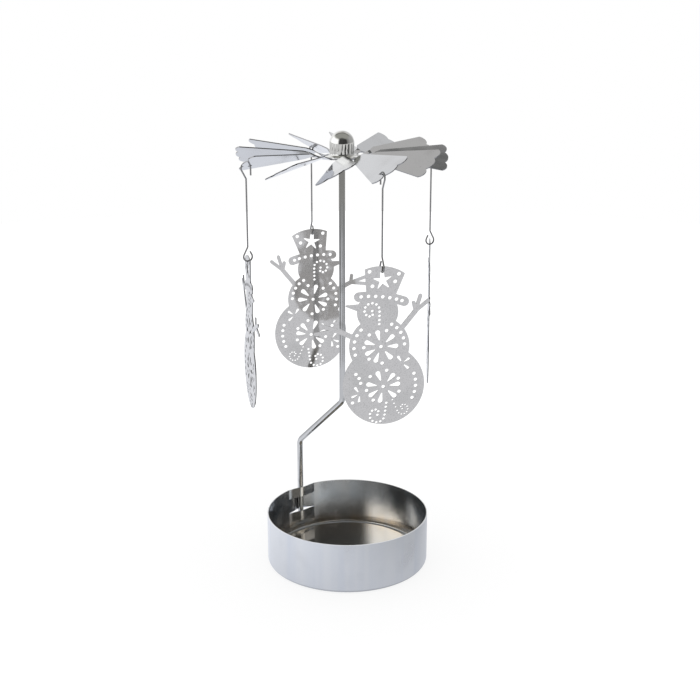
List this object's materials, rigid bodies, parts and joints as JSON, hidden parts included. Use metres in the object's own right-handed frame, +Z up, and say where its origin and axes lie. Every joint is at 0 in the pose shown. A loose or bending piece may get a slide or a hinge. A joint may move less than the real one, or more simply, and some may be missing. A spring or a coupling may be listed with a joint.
{
  "type": "rotary tealight holder",
  "caption": "Sheet metal tealight cup with a cranked wire stem, a bladed rotor turning on the stem's point, and pierced snowmen hung from the rotor by wire hooks.",
  "frame": {"origin": "centre of the ring that the cup stands on, in the plane of the table", "axes": "+Z up along the cup's axis; -X towards the clip that holds the stem; the stem's crank lies in the XZ plane"},
  "size_m": [0.0896, 0.0952, 0.1734],
  "materials": {
    "cup_chrome": "bright plated steel sheet",
    "wire_chrome": "bright plated steel wire",
    "rotor_chrome": "bright plated stamped sheet",
    "cap_chrome": "polished plated steel",
    "hanger_wire": "bright drawn wire",
    "figure_sheet": "satin etched sheet"
  },
  "bodies": {
    "cup": {"candle_cup": "cup_chrome"},
    "stem": {"stem": "wire_chrome"},
    "rotor": {"rotor": "rotor_chrome", "bearing_cap": "cap_chrome"},
    "hanger_1": {"hanger_1": "hanger_wire"},
    "snowman_1": {"snowman_1": "figure_sheet"},
    "hanger_2": {"hanger_2": "hanger_wire"},
    "snowman_2": {"snowman_2": "figure_sheet"},
    "hanger_3": {"hanger_3": "hanger_wire"},
    "snowman_3": {"snowman_3": "figure_sheet"},
    "hanger_4": {"hanger_4": "hanger_wire"},
    "snowman_4": {"snowman_4": "figure_sheet"}
  },
  "joints": [
    {"name": "stem_lift", "type": "slide", "parent": "cup", "child": "stem", "axis": [0, 0, 1], "range_m": [0, 0.015]},
    {"name": "rotor_spin", "type": "hinge", "parent": "stem", "child": "rotor", "pos_m": [-0.00312, 0, 0.17285], "axis": [0, 0, 1], "continuous": true},
    {"name": "hanger_swing_1", "type": "hinge", "parent": "rotor", "child": "hanger_1", "pos_m": [0.0066, 0.03647, 0.16184], "axis": [0.9663, -0.2575, 0], "range_deg": [-10, 20]},
    {"name": "snowman_rock_1", "type": "hinge", "parent": "hanger_1", "child": "snowman_1", "pos_m": [0.0066, 0.03647, 0.12704], "axis": [0.655, 0.7556, 0], "range_deg": [-15, 15]},
    {"name": "hanger_swing_2", "type": "hinge", "parent": "rotor", "child": "hanger_2", "pos_m": [-0.03886, 0.01222, 0.16211], "axis": [0.3235, 0.9462, 0], "range_deg": [-10, 20]},
    {"name": "snowman_rock_2", "type": "hinge", "parent": "hanger_2", "child": "snowman_2", "pos_m": [-0.03886, 0.01222, 0.12701], "axis": [-0.8757, 0.4829, 0], "range_deg": [-15, 15]},
    {"name": "hanger_swing_3", "type": "hinge", "parent": "rotor", "child": "hanger_3", "pos_m": [-0.01391, -0.03614, 0.16143], "axis": [-0.9582, 0.286, 0], "range_deg": [-10, 20]},
    {"name": "snowman_rock_3", "type": "hinge", "parent": "hanger_3", "child": "snowman_3", "pos_m": [-0.01391, -0.03614, 0.12663], "axis": [0.4324, 0.9017, 0], "range_deg": [-15, 15]},
    {"name": "hanger_swing_4", "type": "hinge", "parent": "rotor", "child": "hanger_4", "pos_m": [0.03313, -0.01029, 0.16115], "axis": [-0.273, -0.962, 0], "range_deg": [-10, 20]},
    {"name": "snowman_rock_4", "type": "hinge", "parent": "hanger_4", "child": "snowman_4", "pos_m": [0.03313, -0.01029, 0.12725], "axis": [0.8674, -0.4976, 0], "range_deg": [-15, 15]}
  ]
}
